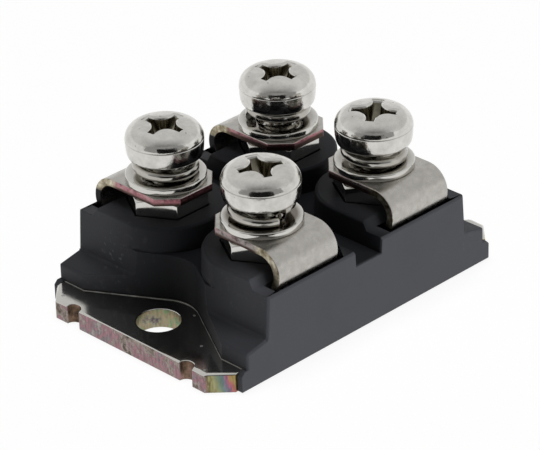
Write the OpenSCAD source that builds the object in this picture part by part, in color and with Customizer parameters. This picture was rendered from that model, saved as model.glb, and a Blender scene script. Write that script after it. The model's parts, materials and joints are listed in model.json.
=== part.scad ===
// Isolated power MOSFET module with four screw terminals.
// A moulded body stands on a drilled base plate. Bent terminal strips rise from troughs along its
// long sides and lie over captive hex nuts, and each takes a screw with a split lock washer and
// a plain washer. The switch inside is a die on a ceramic substrate, soldered to the plate.
// Millimetres. The origin is the centre of the base plate's underside, +X runs along the module.

/* [Base plate] */
// Overall length of the base plate
plate_l = 38; // [36.5:0.1:42]
// Width of the base plate
plate_w = 24; // [22.5:0.1:24.8]
// Thickness of the base plate
plate_t = 2; // [1.5:0.1:3]
// Chamfer across each corner of the base plate
plate_corner = 2; // [0.5:0.1:2.6]
// Distance from each end of the plate in to its mounting hole
hole_inset = 3.9; // [3.4:0.1:4.2]
// Diameter of the mounting holes
hole_d = 4.2; // [3:0.1:5]
// Distance between the two tie-bar notches of one end
tie_pitch = 15.2; // [10:0.1:17]
// Diameter of a tie-bar notch
tie_d = 1.6; // [0.8:0.1:2.2]

/* [Housing] */
// Overall width of the moulding
body_w = 25.3; // [25:0.1:28]
// Length of the strips that wrap the long edges of the plate
flange_l = 33.6; // [33.2:0.1:36]
// Chamfer at the upper ends of those strips
flange_corner = 0.4; // [0.1:0.1:1]
// Height of the moulding's underside above the plate's underside
foot_gap = 0.1; // [0.05:0.05:0.5]
// Length of the low step at the foot of the body
step_l = 32.1; // [30.5:0.1:32.8]
// Height of the step's outer edge above the plate
step_h = 1.7; // [1.2:0.1:2]
// Rise of the step from its outer edge to the wall of the block
step_rise = 0.5; // [0.2:0.1:0.8]
// Rounding of the step's outer edge
step_round = 0.35; // [0.2:0.05:0.8]
// Fillet between the step and the wall of the block
step_fillet = 0.35; // [0.1:0.05:0.6]
// Length of the block at the foot of its end walls
block_l = 26.9; // [26:0.1:28]
// Draft of the end walls in degrees
end_draft = 4; // [1:0.5:6]
// Height of the side ledges above the plate
sill_h = 6.4; // [6:0.1:6.8]
// Width of the side ledges
ledge_w = 2.05; // [1.9:0.05:2.3]
// Run of the slope between a ledge and the tower top
ledge_run = 0.5; // [0.1:0.1:0.6]
// Height of the tower tops above the plate
tower_h = 7.3; // [7:0.1:8]
// Radius of the round inner end of a tower
tower_r = 5.65; // [5.2:0.05:6]
// Draft of the tower walls in degrees
tower_draft = 3; // [0.5:0.5:4]
// Chamfer round the tower tops
edge = 0.2; // [0.1:0.05:0.3]
// Chamfer round the side faces
side_edge = 0.2; // [0.1:0.05:0.3]
// Height of the channel floor between the towers above the plate
channel_h = 4.8; // [4.6:0.1:5.5]
// Radius of the end recess about the mounting hole
recess_r = 3.85; // [3.5:0.05:4.1]
// Angle of the end recess's straight sides from the end wall in degrees
recess_angle = 30; // [26:1:33]
// Wall between the end recess and the cavity
recess_wall = 1.3; // [1:0.1:2]
// Height of the cavity above the plate
roof_h = 3.2; // [3:0.1:3.4]
// Thickness of the adhesive under the housing
seal_t = 0.12; // [0.05:0.01:0.2]
// How far the adhesive squeezes out at the foot of the end recess
seal_bead = 0.05; // [0.03:0.01:0.2]

/* [Terminals] */
// Distance between screws along the module
pitch_x = 15; // [14.6:0.1:15.6]
// Distance between screws across the module
pitch_y = 12.7; // [12.4:0.1:13]
// Height of the terminals' undersides above the plate
seat_h = 8.95; // [8.6:0.05:9.8]
// Width of a terminal strip
strip_w = 7.65; // [7:0.05:8.2]
// Thickness of a terminal strip
strip_t = 0.8; // [0.6:0.05:1]
// Outer radius of a terminal's bend
bend_r = 2.4; // [2:0.1:2.6]
// How far a strip leans in below its bend, in degrees
bend_lean = 20; // [10:1:30]
// Distance from the body's side face in to the bulge of the bend
bulge_in = 0.4; // [0.2:0.05:0.6]
// Distance from the bulge in to the outer face of the leg
curl_in = 0.55; // [0.4:0.05:0.8]
// Distance from the screw to the free end of a terminal
lug_end = 4.1; // [3.9:0.1:5]
// Chamfer of the corners at the free end
lug_corner = 1.8; // [0.5:0.1:2]
// Width of the oblong terminal hole along the module
lug_hole_w = 4.3; // [4.1:0.1:4.6]
// Length of the oblong terminal hole across the module
lug_hole_l = 4.9; // [4.6:0.1:5.4]
// Depth of the trough that a strip rises from
trough_d = 1.2; // [0.8:0.1:1.4]
// Room between a strip's edges and the ends of its trough
trough_gap = 0.45; // [0.2:0.05:0.8]
// Lip of the body outside a trough
trough_lip = 0.3; // [0.2:0.05:0.5]
// Width of a terminal's leg inside the body
leg_w = 4; // [3:0.1:4.4]
// Copper left beyond a terminal's foot, towards the end of the module
foot_margin = 0.25; // [0.1:0.05:0.6]
// Skin of the body between a leg and the cavity
leg_skin = 0.3; // [0.2:0.05:0.5]
// Length of a terminal's foot inside the cavity
foot_l = 3.2; // [2.6:0.1:3.6]

/* [Fasteners] */
// Diameter of the screws
screw_d = 3.9; // [3.6:0.05:3.95]
// Length of the screws under the head
screw_l = 8; // [7.5:0.1:8.4]
// Diameter of the screw heads
head_d = 7.45; // [6.8:0.05:8]
// Diameter of the screw heads at their underside
head_base_d = 6.5; // [6:0.1:6.7]
// Height of the screw heads
head_h = 3.2; // [2.8:0.05:3.6]
// Height of the widest ring above the underside of a head
head_ring_h = 1.65; // [1.3:0.05:1.8]
// Share of the height over that ring that a head's rounded shoulder takes
shoulder_part = 0.9; // [0.7:0.05:0.95]
// Diameter across the wings of the cross recess
drive_d = 4.7; // [4:0.1:5]
// Width of a wing of the cross recess
wing_w = 0.7; // [0.6:0.05:1]
// Rounding of the lobe between two wings of the cross recess
wing_round = 1.4; // [1:0.05:1.6]
// Diameter of the bottom of the cross recess
drive_tip = 1.1; // [0.8:0.1:1.4]
// Depth of the cross recess
drive_depth = 2.2; // [1.5:0.1:2.4]
// Diameter of the plain washers
washer_d = 7.75; // [7:0.05:8]
// Hole of the plain washers
washer_hole = 4.3; // [4.1:0.05:4.6]
// Thickness of the plain washers
washer_t = 0.7; // [0.5:0.05:0.9]
// Outer diameter of the lock washers
lock_d = 6.35; // [6:0.05:7]
// Hole of the lock washers
lock_hole = 4.2; // [4.1:0.05:4.5]
// Thickness of the lock washers' wire
lock_t = 0.95; // [0.7:0.05:1.1]
// How far the split of a lock washer springs apart
lock_rise = 0.95; // [0.5:0.05:1.1]
// Angle of the split of a lock washer in degrees
lock_split = 14; // [8:1:24]
// Width of the nuts across their flats
nut_af = 7; // [6.8:0.05:7.2]
// Thickness of the nuts
nut_t = 3.2; // [2.8:0.05:3.4]
// Hole of the nuts
nut_hole = 4.05; // [4:0.05:4.2]
// Room round a nut in its pocket
nut_gap = 0.1; // [0.05:0.05:0.2]
// Room round a screw below its nut
bore_gap = 0.3; // [0.1:0.05:0.4]
// Room below the tip of a screw
tip_gap = 0.35; // [0.2:0.05:0.6]

/* [Substrate and die] */
// Room between the substrate and the wall of the cavity
sub_gap = 0.4; // [0.2:0.05:0.8]
// Margin of bare ceramic round the copper
foil_margin = 0.4; // [0.2:0.05:0.8]
// Gap between neighbouring copper pads
pad_gap = 0.8; // [0.5:0.05:1.2]
// Thickness of the solder under the substrate
solder_t = 0.15; // [0.1:0.01:0.2]
// Thickness of the copper on each face of the ceramic
foil_t = 0.3; // [0.2:0.05:0.4]
// Thickness of the ceramic
ceramic_t = 0.65; // [0.4:0.05:0.8]
// Thickness of the solder under the die and the terminal feet
joint_t = 0.1; // [0.06:0.01:0.15]
// Length of the die along the module
die_l = 6.4; // [5:0.1:7]
// Width of the die across the module
die_w = 8.4; // [7:0.1:9]
// Thickness of the die
die_t = 0.3; // [0.2:0.05:0.4]
// Copper left between the die and the edge of its pad
die_margin = 0.7; // [0.4:0.05:1]
// Width of the source pads along the module
source_w = 5.4; // [5:0.1:5.6]
// Depth of the gate and kelvin pads across the module
gate_w = 4.4; // [4:0.1:4.8]
// Number of source ribbons
ribbons = 4; // [2:1:5]
// Width of a source ribbon
ribbon_w = 1.2; // [0.6:0.1:1.3]
// Width of the gate and kelvin ribbons
sense_w = 0.5; // [0.3:0.1:0.8]
// Thickness of the ribbons
ribbon_t = 0.2; // [0.1:0.05:0.25]
// Height of a ribbon's arch over the die
ribbon_rise = 0.7; // [0.4:0.05:0.8]
// Length of a ribbon's bonded foot
bond_l = 0.8; // [0.5:0.1:1]
// Cover of gel over the ribbons
gel_cover = 0.15; // [0.05:0.05:0.2]

/* [Hidden] */
$fn = 64;

MOULDED = "#2c2c2f";
NICKEL = "#c9c5ba";
COPPER = "#c98a62";
SOLDER = "#9b9da0";
ALUMINIUM = "#d7d9dc";
// Cuts run past the faces that they open by this much
over = 1;
// Quadrant of each terminal, and the turn of its screw's recess and of its washer's split
SOURCE = [-1, -1];
KELVIN = [-1, 1];
DRAIN = [1, -1];
GATE = [1, 1];
POSTS = [[SOURCE, 66, -97], [KELVIN, 8, 60], [DRAIN, 32, 40], [GATE, 5, 152]];

post_x = pitch_x / 2;
post_y = pitch_y / 2;
side_y = body_w / 2;

// Heights of the housing
z_foot = plate_t + seal_t;
z_step = plate_t + step_h;
z_wall = z_step + step_rise;
z_roof = plate_t + roof_h;
z_channel = plate_t + channel_h;
z_sill = plate_t + sill_h;
z_tower = plate_t + tower_h;
z_trough = z_sill - trough_d;

// Places of the mounting hole, the step's end, the foot of the end wall and its top, along the module
hole_x = plate_l / 2 - hole_inset;
x_step = step_l / 2;
x_wall = block_l / 2;
x_top = x_wall - (z_tower - z_wall) * tan(end_draft);

// Heights of the terminals and fasteners
z_seat = plate_t + seat_h;
z_lug = z_seat + strip_t;
z_washer = z_lug + washer_t;
z_head = z_washer + lock_t + lock_rise;
z_tip = z_head - screw_l;
z_pocket = z_seat - nut_t;

// Heights of the substrate
z_back = plate_t + solder_t;
z_ceramic = z_back + foil_t;
z_pad = z_ceramic + ceramic_t;
z_joint = z_pad + foil_t;
z_leg = z_joint + joint_t;
z_die = z_leg + die_t;
z_gel = z_die + ribbon_rise + ribbon_t + gel_cover;

// Plan of the terminals: bulge, bend centre and leg, measured across the module
y_bulge = side_y - bulge_in;
y_bend = y_bulge - bend_r;
z_bend = z_lug - bend_r;
y_leg = y_bulge - curl_in;
y_foot = y_leg - strip_t - foot_l;

// Plan of the cavity, the substrate, the copper and the terminals' legs
wall_y = side_y - y_leg + strip_t + leg_skin;
cavity_x = hole_x - recess_r - recess_wall;
cavity_y = side_y - wall_y;
sub_x = cavity_x - sub_gap;
sub_y = cavity_y - sub_gap;
foil_x = sub_x - foil_margin;
foil_y = sub_y - foil_margin;
leg_x = foil_x - foot_margin - leg_w / 2;
source_x = source_w - foil_x;
drain_x = source_x + pad_gap;
gate_y = foil_y - gate_w;
drain_y = gate_y - pad_gap;
die_x = drain_x + die_margin;
die_y = drain_y - die_w - pad_gap;
sense_x = die_x + die_l / 2;
sense_y = die_y + die_w - bond_l - pad_gap / 2;

function arc(c, r, a0, a1, n = 6) =
    [for (i = [0:n]) let (a = a0 + (a1 - a0) * i / n) c + r * [cos(a), sin(a)]];

module both_x() {
    children();
    mirror([1, 0, 0]) children();
}

module both_y() {
    children();
    mirror([0, 1, 0]) children();
}

// Copies of one quadrant's shape in all four
module quarters() {
    both_x() both_y() children();
}

// A shape of the +X +Y quadrant, moved to the quadrant of one terminal
module in_quadrant(q) {
    mirror([q[0] < 0 ? 1 : 0, 0, 0]) mirror([0, q[1] < 0 ? 1 : 0, 0]) children();
}

// A block between two corners
module slab(low, high) {
    translate(low) cube(high - low);
}

// A profile of x and z, extruded along y between two places
module along_y(y0, y1) {
    translate([0, y1, 0]) rotate([90, 0, 0]) linear_extrude(y1 - y0) children();
}

// A profile of y and z, extruded along x between two places
module along_x(x0, x1) {
    translate([x0, 0, 0]) rotate([90, 0, 90]) linear_extrude(x1 - x0) children();
}

// Half of the body's end profile, in x and z: step, sloping top, fillet and drafted wall
function end_profile() =
    let (slope = atan(step_rise / (x_step - x_wall)),
         round_c = [x_step - step_round,
                    z_step + step_round * (tan(slope) - 1 / cos(slope))],
         fillet_c = [x_wall, z_wall] + step_fillet / cos(end_draft + slope)
                    * [cos(slope) - sin(end_draft), cos(end_draft) - sin(slope)])
    concat([[x_step, z_foot]],
           arc(round_c, step_round, 0, 90 - slope),
           arc(fillet_c, step_fillet, 270 - slope, 180 + end_draft),
           [[x_top, z_tower]]);

function flipped(points) = [for (i = [len(points) - 1:-1:0]) [-points[i][0], points[i][1]]];

module body_prism() {
    half = end_profile();
    along_y(-side_y, side_y) polygon(concat(half, flipped(half)));
}

// One tower, with a round inner end and flat drafted flanks out to the side face
module tower() {
    r_floor = tower_r + (z_tower - z_channel) * tan(tower_draft);
    r_edge = tower_r + edge * tan(tower_draft);
    r_top = r_edge - edge;
    rise = z_tower - edge - z_channel;
    translate([post_x, post_y, z_channel]) {
        cylinder(h = rise, r1 = r_floor, r2 = r_edge);
        translate([0, 0, rise]) cylinder(h = edge, r1 = r_edge, r2 = r_top);
    }
    along_y(post_y, side_y) translate([post_x, z_channel]) polygon([
        [-r_floor, 0], [r_floor, 0], [r_edge, rise], [r_top, rise + edge],
        [-r_top, rise + edge], [-r_edge, rise]]);
}

// Plan of one end recess: an arc about the mounting hole with straight flaring sides
module recess_plan(r) {
    reach = x_step + over - hole_x + r * cos(recess_angle);
    run = reach / sin(recess_angle);
    start = r * [-cos(recess_angle), sin(recess_angle)];
    end = start + run * [sin(recess_angle), cos(recess_angle)];
    translate([hole_x, 0]) {
        circle(r);
        polygon([start, end, [end[0], -end[1]], [start[0], -start[1]]]);
    }
}

// Chamfer of the side face along the line from p down to q of the end profile
module side_chamfer(p, q) {
    translate([p[0], side_y, p[1]]) rotate([0, atan2(p[1] - q[1], q[0] - p[0]), 0])
        along_x(0, norm(q - p)) polygon([
            [-side_edge - over, over], [over, -side_edge - over], [over, over]]);
}

// The chamfers of one corner: down the end wall, the slope of the step and its end
module corner_chamfers() {
    side_chamfer([x_top, z_tower], [x_wall, z_wall]);
    side_chamfer([x_wall, z_wall], [x_step, z_step]);
    side_chamfer([x_step, z_step], [x_step, z_foot]);
}

// The low ledge along one side: everything above it is cut away
module ledge_cut() {
    y_low = side_y - ledge_w;
    along_x(-x_step, x_step) polygon([
        [y_low - ledge_run, z_tower + over], [y_low - ledge_run, z_tower], [y_low, z_sill],
        [side_y - side_edge, z_sill], [side_y, z_sill - side_edge],
        [side_y + over, z_sill - side_edge], [side_y + over, z_tower + over]]);
}

// Strip along one long edge of the plate
module flange() {
    half = [[flange_l / 2, foot_gap], [flange_l / 2, z_foot - flange_corner],
            [flange_l / 2 - flange_corner, z_foot]];
    along_y(plate_w / 2, side_y) polygon(concat(half, flipped(half)));
}

module trough_cut() {
    half = strip_w / 2 + trough_gap;
    slab([post_x - half, side_y - ledge_w, z_trough],
         [post_x + half, side_y - trough_lip, z_tower]);
}

// Pocket of a nut, with corners along the module, and the blind bore under it
module nut_pocket() {
    translate([post_x, post_y, z_pocket])
        cylinder(h = nut_t + over, r = (nut_af / 2 + nut_gap) / cos(30), $fn = 6);
    translate([post_x, post_y, z_tip - tip_gap])
        cylinder(h = z_pocket - z_tip + tip_gap + over, d = screw_d + 2 * bore_gap);
}

module housing() {
    color(MOULDED) difference() {
        union() {
            intersection() {
                body_prism();
                union() {
                    slab([-step_l, -body_w, 0], [step_l, body_w, z_channel]);
                    quarters() tower();
                }
            }
            both_y() flange();
        }
        both_y() ledge_cut();
        quarters() corner_chamfers();
        both_x() translate([0, 0, foot_gap]) linear_extrude(z_tower) recess_plan(recess_r);
        slab([-cavity_x, -cavity_y, 0], [cavity_x, cavity_y, z_roof]);
        quarters() {
            trough_cut();
            nut_pocket();
            terminal_leg();
        }
    }
}

module base_plate() {
    x = plate_l / 2;
    y = plate_w / 2;
    c = plate_corner;
    color(NICKEL) linear_extrude(plate_t) difference() {
        polygon([[x, y - c], [x - c, y], [c - x, y], [-x, y - c],
                 [-x, c - y], [c - x, -y], [x - c, -y], [x, c - y]]);
        both_x() translate([hole_x, 0]) circle(d = hole_d);
        quarters() translate([x, tie_pitch / 2]) circle(d = tie_d);
    }
}

module base_seal() {
    color("#4a4744") translate([0, 0, plate_t]) linear_extrude(seal_t) difference() {
        square([step_l, plate_w], center = true);
        square(2 * [cavity_x, cavity_y], center = true);
        both_x() recess_plan(recess_r - seal_bead);
    }
}

// Side view of a terminal strip in y and z, from its free end over the bend to its foot
module strip_profile() {
    inner_r = bend_r - strip_t;
    down = [cos(bend_lean), -sin(bend_lean)];
    bend = [y_bend, z_bend];
    outer = bend + bend_r * down;
    inner = bend + inner_r * down;
    outer_knee = outer[1] - (outer[0] - y_leg) / tan(bend_lean);
    inner_knee = inner[1] - (inner[0] - y_leg + strip_t) / tan(bend_lean);
    polygon(concat(
        [[post_y - lug_end, z_lug]],
        arc(bend, bend_r, 90, -bend_lean, 14),
        [[y_leg, outer_knee], [y_leg, z_leg], [y_foot, z_leg], [y_foot, z_leg + strip_t],
         [y_leg - strip_t, z_leg + strip_t], [y_leg - strip_t, inner_knee]],
        arc(bend, inner_r, -bend_lean, 90, 14),
        [[post_y - lug_end, z_seat]]));
}

// The narrow leg and foot of a terminal, inside the body
module terminal_leg() {
    along_x(leg_x - leg_w / 2, leg_x + leg_w / 2) intersection() {
        strip_profile();
        translate([0, -over]) square([body_w, z_trough + over]);
    }
}

// The wide part of a terminal that shows above the trough's floor
module terminal_lug() {
    slot = (lug_hole_l - lug_hole_w) / 2;
    y_end = post_y - lug_end;
    difference() {
        along_x(post_x - strip_w / 2, post_x + strip_w / 2) intersection() {
            strip_profile();
            translate([0, z_trough]) square([body_w, z_lug]);
        }
        translate([post_x, post_y, z_seat - over]) linear_extrude(strip_t + 2 * over) {
            for (s = [-1, 1])
                translate([0, s * slot]) circle(d = lug_hole_w);
            square([lug_hole_w, 2 * slot], center = true);
            for (s = [-1, 1])
                translate([s * strip_w / 2, -lug_end]) rotate(45)
                    square(lug_corner * sqrt(2), center = true);
        }
    }
}

module terminal(q) {
    color(NICKEL) in_quadrant(q) {
        terminal_lug();
        terminal_leg();
    }
}

module source_terminal() { terminal(SOURCE); }
module kelvin_terminal() { terminal(KELVIN); }
module drain_terminal() { terminal(DRAIN); }
module gate_terminal() { terminal(GATE); }

module hex_nut() {
    r = nut_af / 2 / cos(30);
    bevel = (r - nut_af / 2) * tan(30);
    difference() {
        intersection() {
            cylinder(h = nut_t, r = r, $fn = 6);
            union() {
                cylinder(h = bevel, r1 = nut_af / 2, r2 = r);
                translate([0, 0, bevel]) cylinder(h = nut_t - 2 * bevel, r = r);
                translate([0, 0, nut_t - bevel]) cylinder(h = bevel, r1 = r, r2 = nut_af / 2);
            }
        }
        translate([0, 0, -over]) cylinder(h = nut_t + 2 * over, d = nut_hole);
    }
}

module hex_nuts() {
    color(NICKEL) quarters() translate([post_x, post_y, z_pocket]) hex_nut();
}

// Outline of a cross recess: a disc without four lobes that have a rounded inner corner
module drive_plan() {
    edge_w = wing_w / 2;
    difference() {
        circle(d = drive_d);
        for (turn = [0:90:270]) rotate(turn) {
            translate([edge_w + wing_round, edge_w]) square(drive_d);
            translate([edge_w, edge_w + wing_round]) square(drive_d);
            translate((edge_w + wing_round) * [1, 1]) circle(wing_round);
        }
    }
}

// Half of a screw head's outline, in radius and height: rounded flank, shoulder and shallow dome
function head_profile() =
    let (flank = (head_d - head_base_d) / 2, crown = head_h - head_ring_h,
         shoulder = crown * shoulder_part, dome_r = head_d / 2 - shoulder * (1 - cos(75)),
         dome_h = crown - shoulder * sin(75))
    concat([[0, 0], [head_base_d / 2, 0]],
           [for (a = [15:15:90])
               [head_base_d / 2 + flank * sin(a), head_ring_h * (1 - cos(a))]],
           [for (a = [15:15:75])
               [head_d / 2 - shoulder * (1 - cos(a)), head_ring_h + shoulder * sin(a)]],
           [for (part = [0.75:-0.25:0])
               [dome_r * part, head_h - dome_h * pow(part, 2)]]);

module terminal_screw(turn) {
    tip = screw_d / 8;
    difference() {
        union() {
            rotate_extrude() polygon(head_profile());
            translate([0, 0, tip - screw_l]) cylinder(h = screw_l - tip, d = screw_d);
            translate([0, 0, -screw_l]) cylinder(h = tip, d1 = screw_d - 2 * tip, d2 = screw_d);
        }
        translate([0, 0, head_h - drive_depth]) rotate(turn) intersection() {
            linear_extrude(drive_depth + over) drive_plan();
            cylinder(h = drive_depth + over, d1 = drive_tip, d2 = drive_d + 2 * over);
        }
    }
}

module terminal_screws() {
    color(NICKEL) for (p = POSTS)
        translate([p[0][0] * post_x, p[0][1] * post_y, z_head]) terminal_screw(p[1]);
}

// One left-hand turn of square wire, from its low end on one side of the split round to its high end
module lock_washer(split) {
    steps = 36;
    ri = lock_hole / 2;
    ro = lock_d / 2;
    points = [for (i = [0:steps])
        let (a = split - lock_split / 2 - (360 - lock_split) * i / steps, z = lock_rise * i / steps)
        each [[ri * cos(a), ri * sin(a), z], [ro * cos(a), ro * sin(a), z],
              [ro * cos(a), ro * sin(a), z + lock_t], [ri * cos(a), ri * sin(a), z + lock_t]]];
    sides = [for (i = [0:steps - 1], k = [0:3])
        let (a = 4 * i + k, b = 4 * i + (k + 1) % 4)
        each [[a, b, b + 4], [a, b + 4, a + 4]]];
    last = 4 * steps;
    polyhedron(points, concat([[0, 2, 1], [0, 3, 2]], sides,
        [[last, last + 1, last + 2], [last, last + 2, last + 3]]));
}

module lock_washers() {
    color(NICKEL) for (p = POSTS)
        translate([p[0][0] * post_x, p[0][1] * post_y, z_washer]) lock_washer(p[2]);
}

module plain_washers() {
    color(NICKEL) quarters() translate([post_x, post_y, z_lug]) difference() {
        cylinder(h = washer_t, d = washer_d);
        translate([0, 0, -over]) cylinder(h = washer_t + 2 * over, d = washer_hole);
    }
}

module substrate_solder() {
    color(SOLDER) slab([-foil_x, -foil_y, plate_t], [foil_x, foil_y, z_back]);
}

module back_foil() {
    color(COPPER) slab([-foil_x, -foil_y, z_back], [foil_x, foil_y, z_ceramic]);
}

module ceramic_substrate() {
    color("#e9e6dc") slab([-sub_x, -sub_y, z_ceramic], [sub_x, sub_y, z_pad]);
}

module copper_pad(low, high) {
    color(COPPER) slab([low[0], low[1], z_pad], [high[0], high[1], z_joint]);
}

module drain_pad() { copper_pad([drain_x, -foil_y], [foil_x, drain_y]); }
module source_pad() { copper_pad([-foil_x, -foil_y], [source_x, drain_y]); }
module gate_pad() { copper_pad([sense_x + pad_gap / 2, gate_y], [foil_x, foil_y]); }
module kelvin_pad() { copper_pad([-foil_x, gate_y], [sense_x - pad_gap / 2, foil_y]); }

module die_solder() {
    color(SOLDER) slab([die_x, die_y, z_joint], [die_x + die_l, die_y + die_w, z_leg]);
}

module mosfet_die() {
    color("#5b5f6b") slab([die_x, die_y, z_leg], [die_x + die_l, die_y + die_w, z_die]);
}

// Side view of a bond ribbon, from a foot on the die at 0 to a foot on a pad that ends at reach
module ribbon_profile(reach) {
    top = z_die + ribbon_rise;
    line = [[bond_l, z_die], [0, z_die], [-bond_l, top], [2 * bond_l - reach, top],
            [bond_l - reach, z_joint], [-reach, z_joint]];
    lifted = [for (i = [len(line) - 1:-1:0]) line[i] + [0, ribbon_t]];
    polygon(concat(line, lifted));
}

// A row of ribbons from the die to the source pad, short of the sense ribbons' bonds
module source_ribbons() {
    pitch = (sense_y - bond_l - die_y) / ribbons;
    start = die_x + die_l / 3;
    reach = start - source_x + 2 * bond_l;
    color(ALUMINIUM) for (i = [0:ribbons - 1]) {
        y = die_y + (i + 0.5) * pitch;
        along_y(y - ribbon_w / 2, y + ribbon_w / 2) translate([start, 0]) ribbon_profile(reach);
    }
}

// A narrow ribbon from the far edge of the die to the pad on one side of the sense gap
module sense_ribbon(side) {
    reach = gate_y + 2 * bond_l - sense_y;
    x = sense_x + side * (pad_gap / 2 + sense_w);
    color(ALUMINIUM) along_x(x - sense_w / 2, x + sense_w / 2)
        translate([sense_y, 0]) mirror([1, 0]) ribbon_profile(reach);
}

module gate_ribbon() { sense_ribbon(1); }
module kelvin_ribbon() { sense_ribbon(-1); }

module terminal_solder() {
    color(SOLDER) quarters()
        slab([leg_x - leg_w / 2, y_foot, z_joint], [leg_x + leg_w / 2, foil_y, z_leg]);
}

module gel_fill() {
    color("#e8e4d8") difference() {
        slab([-cavity_x, -cavity_y, plate_t], [cavity_x, cavity_y, z_gel]);
        substrate_solder();
        back_foil();
        ceramic_substrate();
        drain_pad();
        source_pad();
        gate_pad();
        kelvin_pad();
        die_solder();
        mosfet_die();
        source_ribbons();
        gate_ribbon();
        kelvin_ribbon();
        terminal_solder();
        quarters() terminal_leg();
    }
}

housing();
base_plate();
base_seal();
source_terminal();
kelvin_terminal();
drain_terminal();
gate_terminal();
hex_nuts();
terminal_screws();
lock_washers();
plain_washers();
substrate_solder();
back_foil();
ceramic_substrate();
drain_pad();
source_pad();
gate_pad();
kelvin_pad();
die_solder();
mosfet_die();
source_ribbons();
gate_ribbon();
kelvin_ribbon();
terminal_solder();
gel_fill();
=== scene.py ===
"""Looks of an isolated power MOSFET module with four screw terminals.

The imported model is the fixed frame. Each visible piece is made again here in millimetres, with the
rounded edges, threads and finishes of the real one, and takes its place from the frame.
"""
import json
import math

import bmesh
import bpy
from bpy.props import FloatProperty, FloatVectorProperty, PointerProperty
from mathutils import Matrix, Vector


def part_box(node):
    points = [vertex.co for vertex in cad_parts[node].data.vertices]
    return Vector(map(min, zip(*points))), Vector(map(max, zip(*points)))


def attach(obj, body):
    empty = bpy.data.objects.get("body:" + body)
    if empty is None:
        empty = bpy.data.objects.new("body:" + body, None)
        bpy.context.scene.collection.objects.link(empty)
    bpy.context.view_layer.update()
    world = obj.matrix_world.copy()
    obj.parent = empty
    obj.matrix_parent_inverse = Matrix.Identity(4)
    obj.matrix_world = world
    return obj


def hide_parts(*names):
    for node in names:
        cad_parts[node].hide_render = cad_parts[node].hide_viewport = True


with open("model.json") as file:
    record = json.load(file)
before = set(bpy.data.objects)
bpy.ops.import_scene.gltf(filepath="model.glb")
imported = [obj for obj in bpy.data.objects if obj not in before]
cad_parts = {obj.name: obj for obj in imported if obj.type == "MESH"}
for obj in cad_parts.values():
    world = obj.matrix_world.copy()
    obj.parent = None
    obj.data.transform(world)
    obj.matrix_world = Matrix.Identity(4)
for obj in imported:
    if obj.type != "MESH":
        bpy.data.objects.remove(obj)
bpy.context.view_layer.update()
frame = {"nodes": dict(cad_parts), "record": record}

bl_info = {
    "name": "Power MOSFET module",
    "version": (1, 0, 0),
    "blender": (4, 5, 0),
    "location": "3D View > Sidebar > Module",
    "description": "Dresses the packed power module with its real edges and finishes",
    "category": "Object",
}

# One millimetre in metres: shapes are made in millimetres and turned to metres at the end
MM = 0.001
# Terminals in the order of their screws: turn of the cross recess and of the lock washer's split
POSTS = {"source": (66, -97), "kelvin": (8, -34), "drain": (32, -28), "gate": (5, 152)}
UP = Vector((0, 0, 1))


def linear(hex_code):
    """An sRGB hex colour as linear red, green, blue and alpha."""
    channels = [int(hex_code[i:i + 2], 16) / 255 for i in (1, 3, 5)]
    return *(c / 12.92 if c <= 0.04045 else ((c + 0.055) / 1.055) ** 2.4 for c in channels), 1.0


def length(name, description, millimetres):
    """A size that a user would change, given in millimetres and kept in metres."""
    return FloatProperty(name=name, description=description, default=millimetres * MM,
                         unit="LENGTH", subtype="DISTANCE", precision=5)


def colour(name, description, hex_code):
    """A colour that a user would change."""
    return FloatVectorProperty(name=name, description=description, default=linear(hex_code),
                               subtype="COLOR", size=4, min=0, max=1)


def angle(name, description, degrees):
    """An angle that a user would change."""
    return FloatProperty(name=name, description=description, default=math.radians(degrees),
                         unit="ROTATION", subtype="ANGLE")


def share(name, description, value):
    """A level from 0 to 1 that a user would change."""
    return FloatProperty(name=name, description=description, default=value, subtype="FACTOR",
                         min=0, max=1)


def power(name, description, watts):
    """A lamp's power that a user would change."""
    return FloatProperty(name=name, description=description, default=watts, unit="POWER", min=0)


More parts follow.
